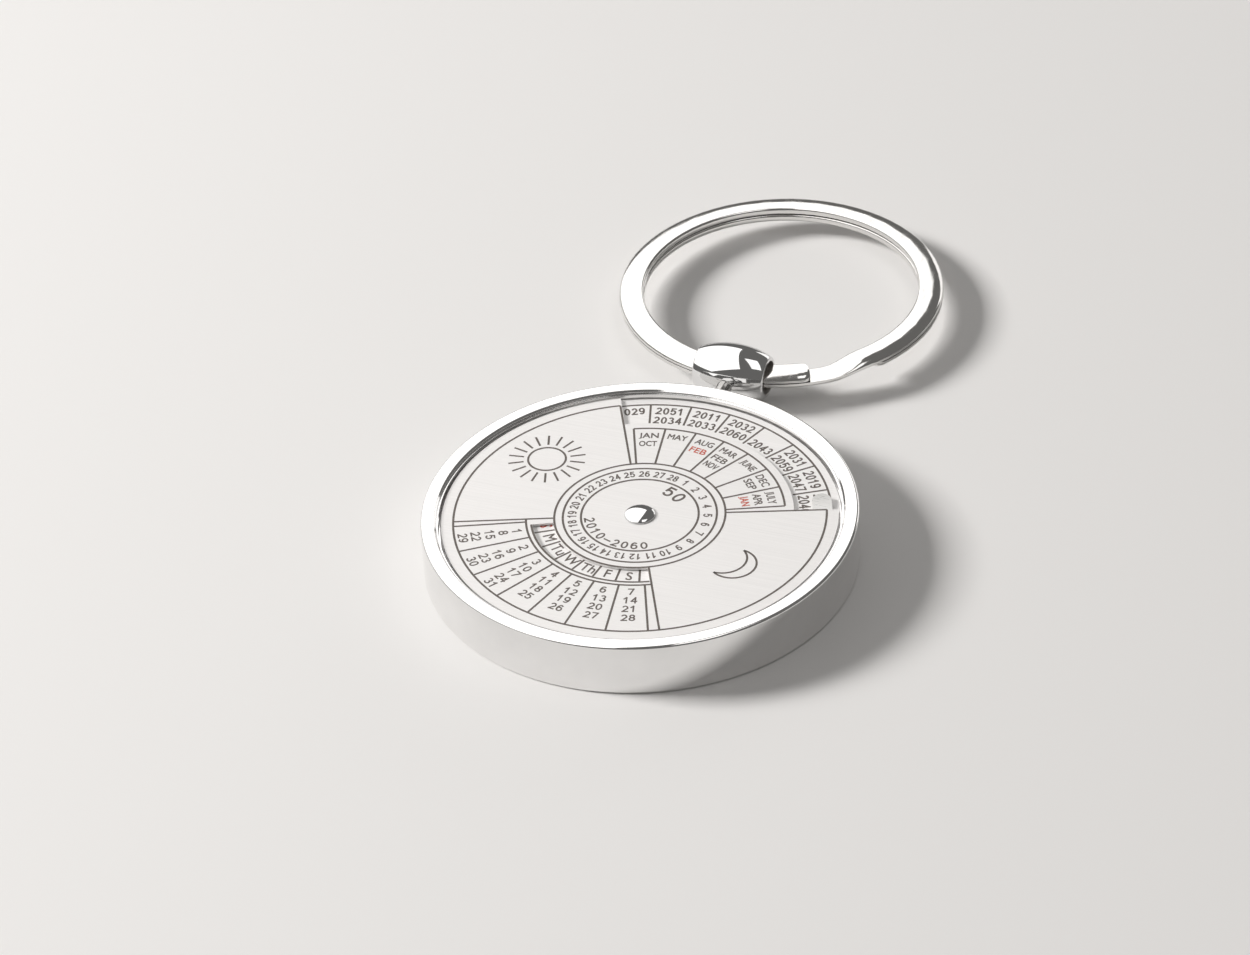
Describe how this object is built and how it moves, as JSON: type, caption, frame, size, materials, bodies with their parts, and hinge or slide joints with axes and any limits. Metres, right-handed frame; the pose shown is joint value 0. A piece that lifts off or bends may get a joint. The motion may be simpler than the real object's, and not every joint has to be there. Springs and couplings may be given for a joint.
{
  "type": "perpetual calendar keyring",
  "caption": "Round metal case with a turning calendar dial over a year disc, on a swivelling olive bead and a flat split ring.",
  "frame": {"origin": "centre of the case's flat back face, on the axis of the centre rivet", "axes": "+Z out of the dial, +Y from the case towards the split ring, +X completes a right-handed frame"},
  "size_m": [0.041, 0.0776, 0.0057],
  "materials": {
    "chrome": "bright chrome plating",
    "ring_chrome": "tumbled bright plating",
    "brushed_dial": "fine straight brushing",
    "brushed_disc": "fine straight brushing",
    "brushed_back": "straight brushing",
    "plain_steel": "plain turned steel",
    "friction_plastic": "matt"
  },
  "bodies": {
    "case": {"calendar_case": "chrome", "year_disc": "brushed_disc", "friction_washer": "friction_plastic", "center_rivet": "chrome", "rivet_washer": "plain_steel", "back_plate": "brushed_back"},
    "dial": {"dial_plate": "brushed_dial"},
    "bead": {"ring_bead": "chrome", "swivel_pin": "plain_steel"},
    "ring": {"split_ring": "ring_chrome"}
  },
  "joints": [
    {"name": "dial_turn", "type": "hinge", "parent": "case", "child": "dial", "pos_m": [0, 0, 0.004], "axis": [0, 0, 1], "continuous": true},
    {"name": "bead_swivel", "type": "hinge", "parent": "case", "child": "bead", "pos_m": [0, 0.0205, 0.00287], "axis": [0, 1, 0], "continuous": true},
    {"name": "ring_swing", "type": "hinge", "parent": "bead", "child": "ring", "pos_m": [0, 0.02657, 0.00287], "axis": [1, 0, 0], "range_deg": [-120, 120]}
  ]
}
